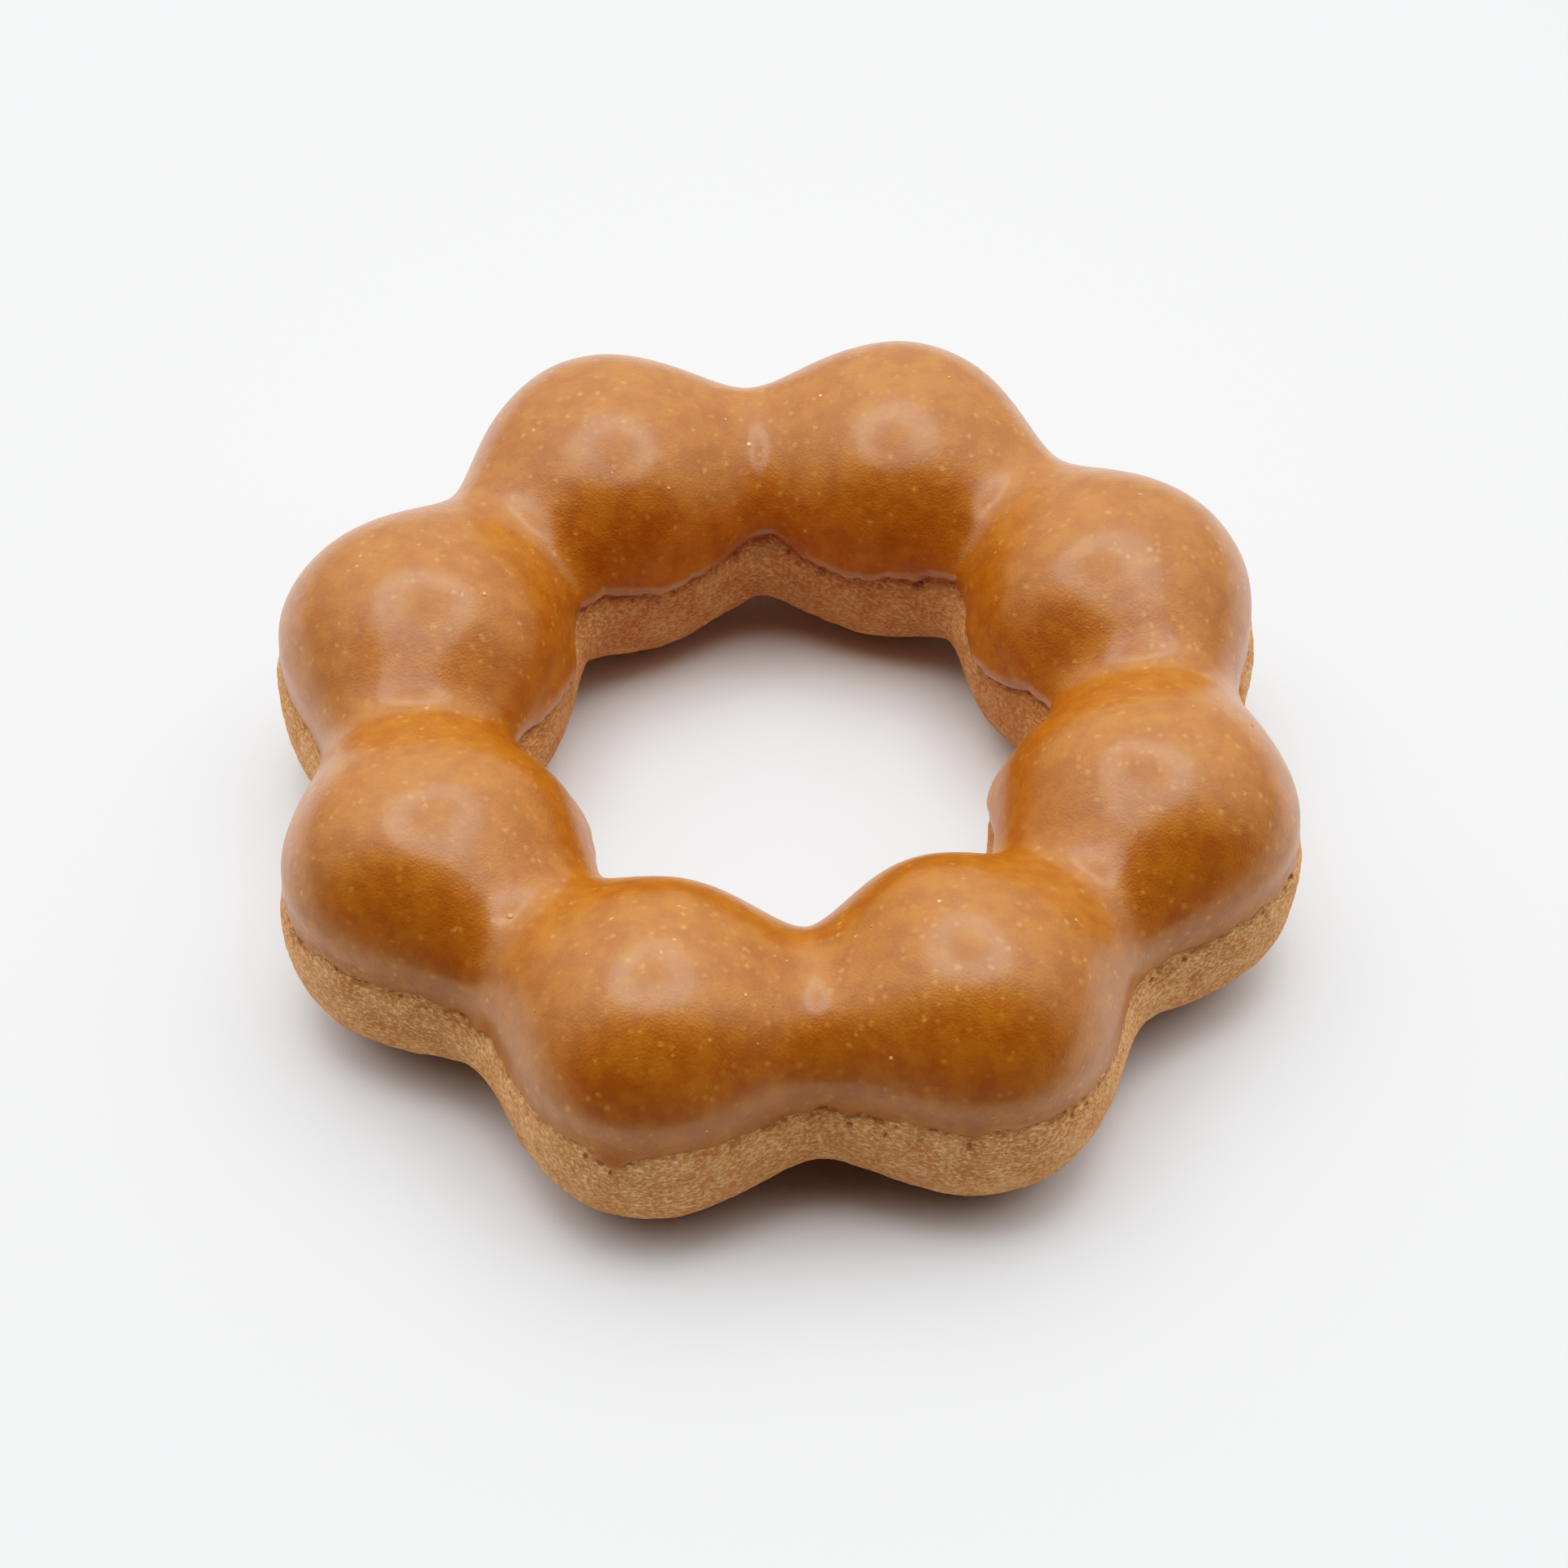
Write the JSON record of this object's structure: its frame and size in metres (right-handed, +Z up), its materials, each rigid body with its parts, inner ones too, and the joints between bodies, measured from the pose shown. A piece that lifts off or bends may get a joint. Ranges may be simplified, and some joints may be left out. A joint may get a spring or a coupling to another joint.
{
  "type": "ring doughnut",
  "caption": "Ring doughnut of round dough balls fused side by side, fried tan below and dipped in smooth caramel icing above, to be eaten or shown on a plate.",
  "frame": {"origin": "middle of the part's box, on the plane that it lies on", "axes": "+Z up, out of the iced side; +X to the right and +Y away from the viewer of the picture"},
  "size_m": [0.0867, 0.0878, 0.0249],
  "materials": {
    "fried_dough": "matt fried dough, pale tan with brown mottling and fine wrinkles along the ring",
    "caramel_icing": "satin caramel icing with a faint orange-peel skin and small cream specks"
  },
  "bodies": {
    "root": {"dough_ring": "fried_dough", "icing": "caramel_icing"}
  },
  "joints": []
}
